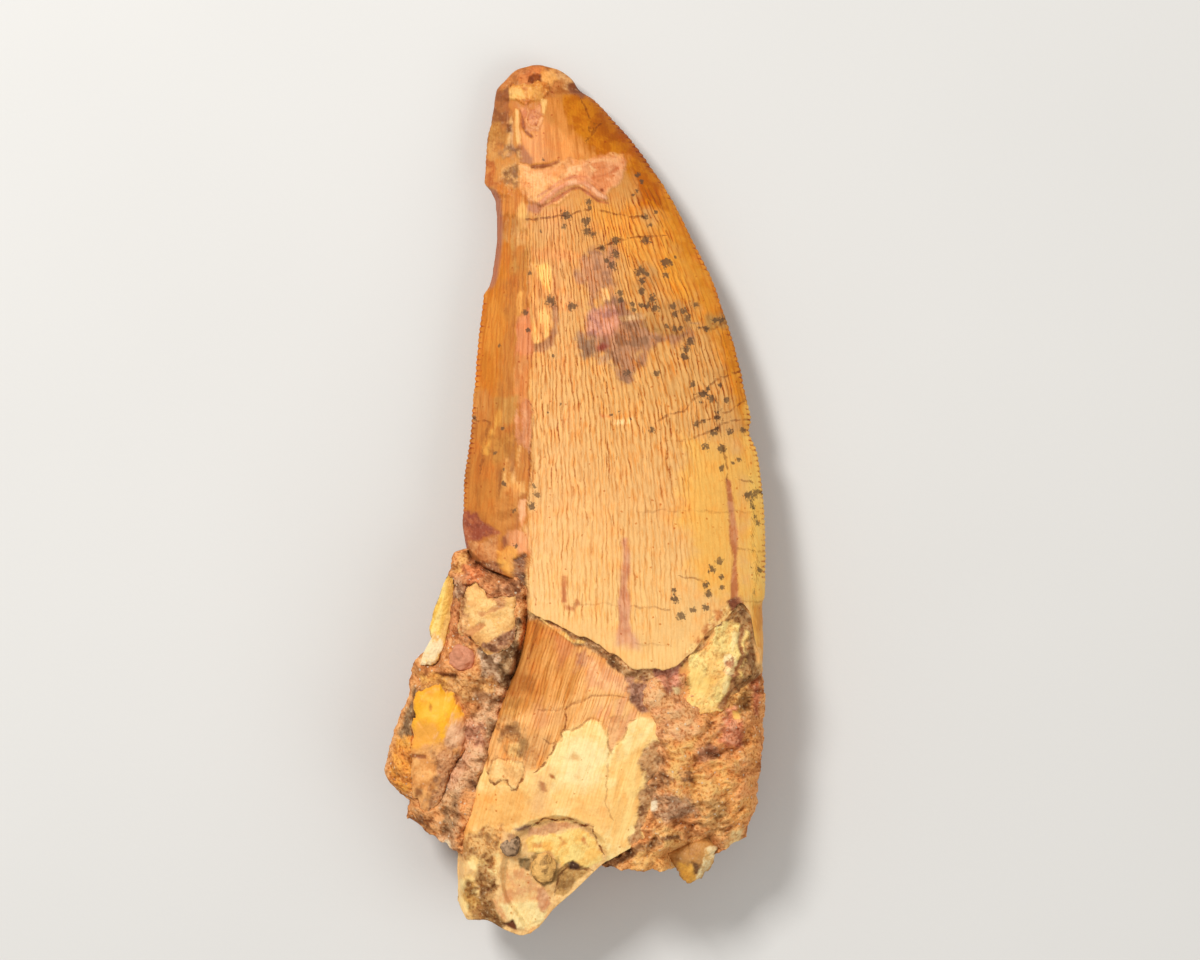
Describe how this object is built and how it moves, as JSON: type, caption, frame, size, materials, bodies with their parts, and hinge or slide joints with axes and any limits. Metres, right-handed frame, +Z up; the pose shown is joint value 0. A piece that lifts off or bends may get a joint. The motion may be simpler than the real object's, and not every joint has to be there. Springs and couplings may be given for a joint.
{
  "type": "carcharodontosaurus tooth fossil",
  "caption": "Serrated, blade-like dinosaur tooth with its broken root still set in reddish sandstone, lying on its back.",
  "frame": {"origin": "middle of the bounding box's underside, on the surface that the tooth lies on", "axes": "+Y along the tooth from the broken root to the tip, +X across the crown towards its convex edge, +Z up through its thickness"},
  "size_m": [0.038, 0.0868, 0.0141],
  "materials": {
    "enamel": "cream to amber fossil enamel with a soft gloss, fine upright wrinkles and dark mineral spots",
    "sandstone": "rough granular red-brown sandstone with pale grains",
    "amber_bone": "smooth yellow to orange mineralised bone, slightly glossy",
    "cream_bone": "matt cream mineralised bone",
    "pebble": "dull olive to grey pebble"
  },
  "bodies": {
    "root": {"tooth": "enamel", "matrix": "sandstone", "bone_slab": "amber_bone", "edge_sliver": "amber_bone", "base_shard": "amber_bone", "enamel_chip": "cream_bone", "olive_pebble": "pebble", "grey_pebble": "pebble", "pink_nodule": "sandstone"}
  },
  "joints": []
}
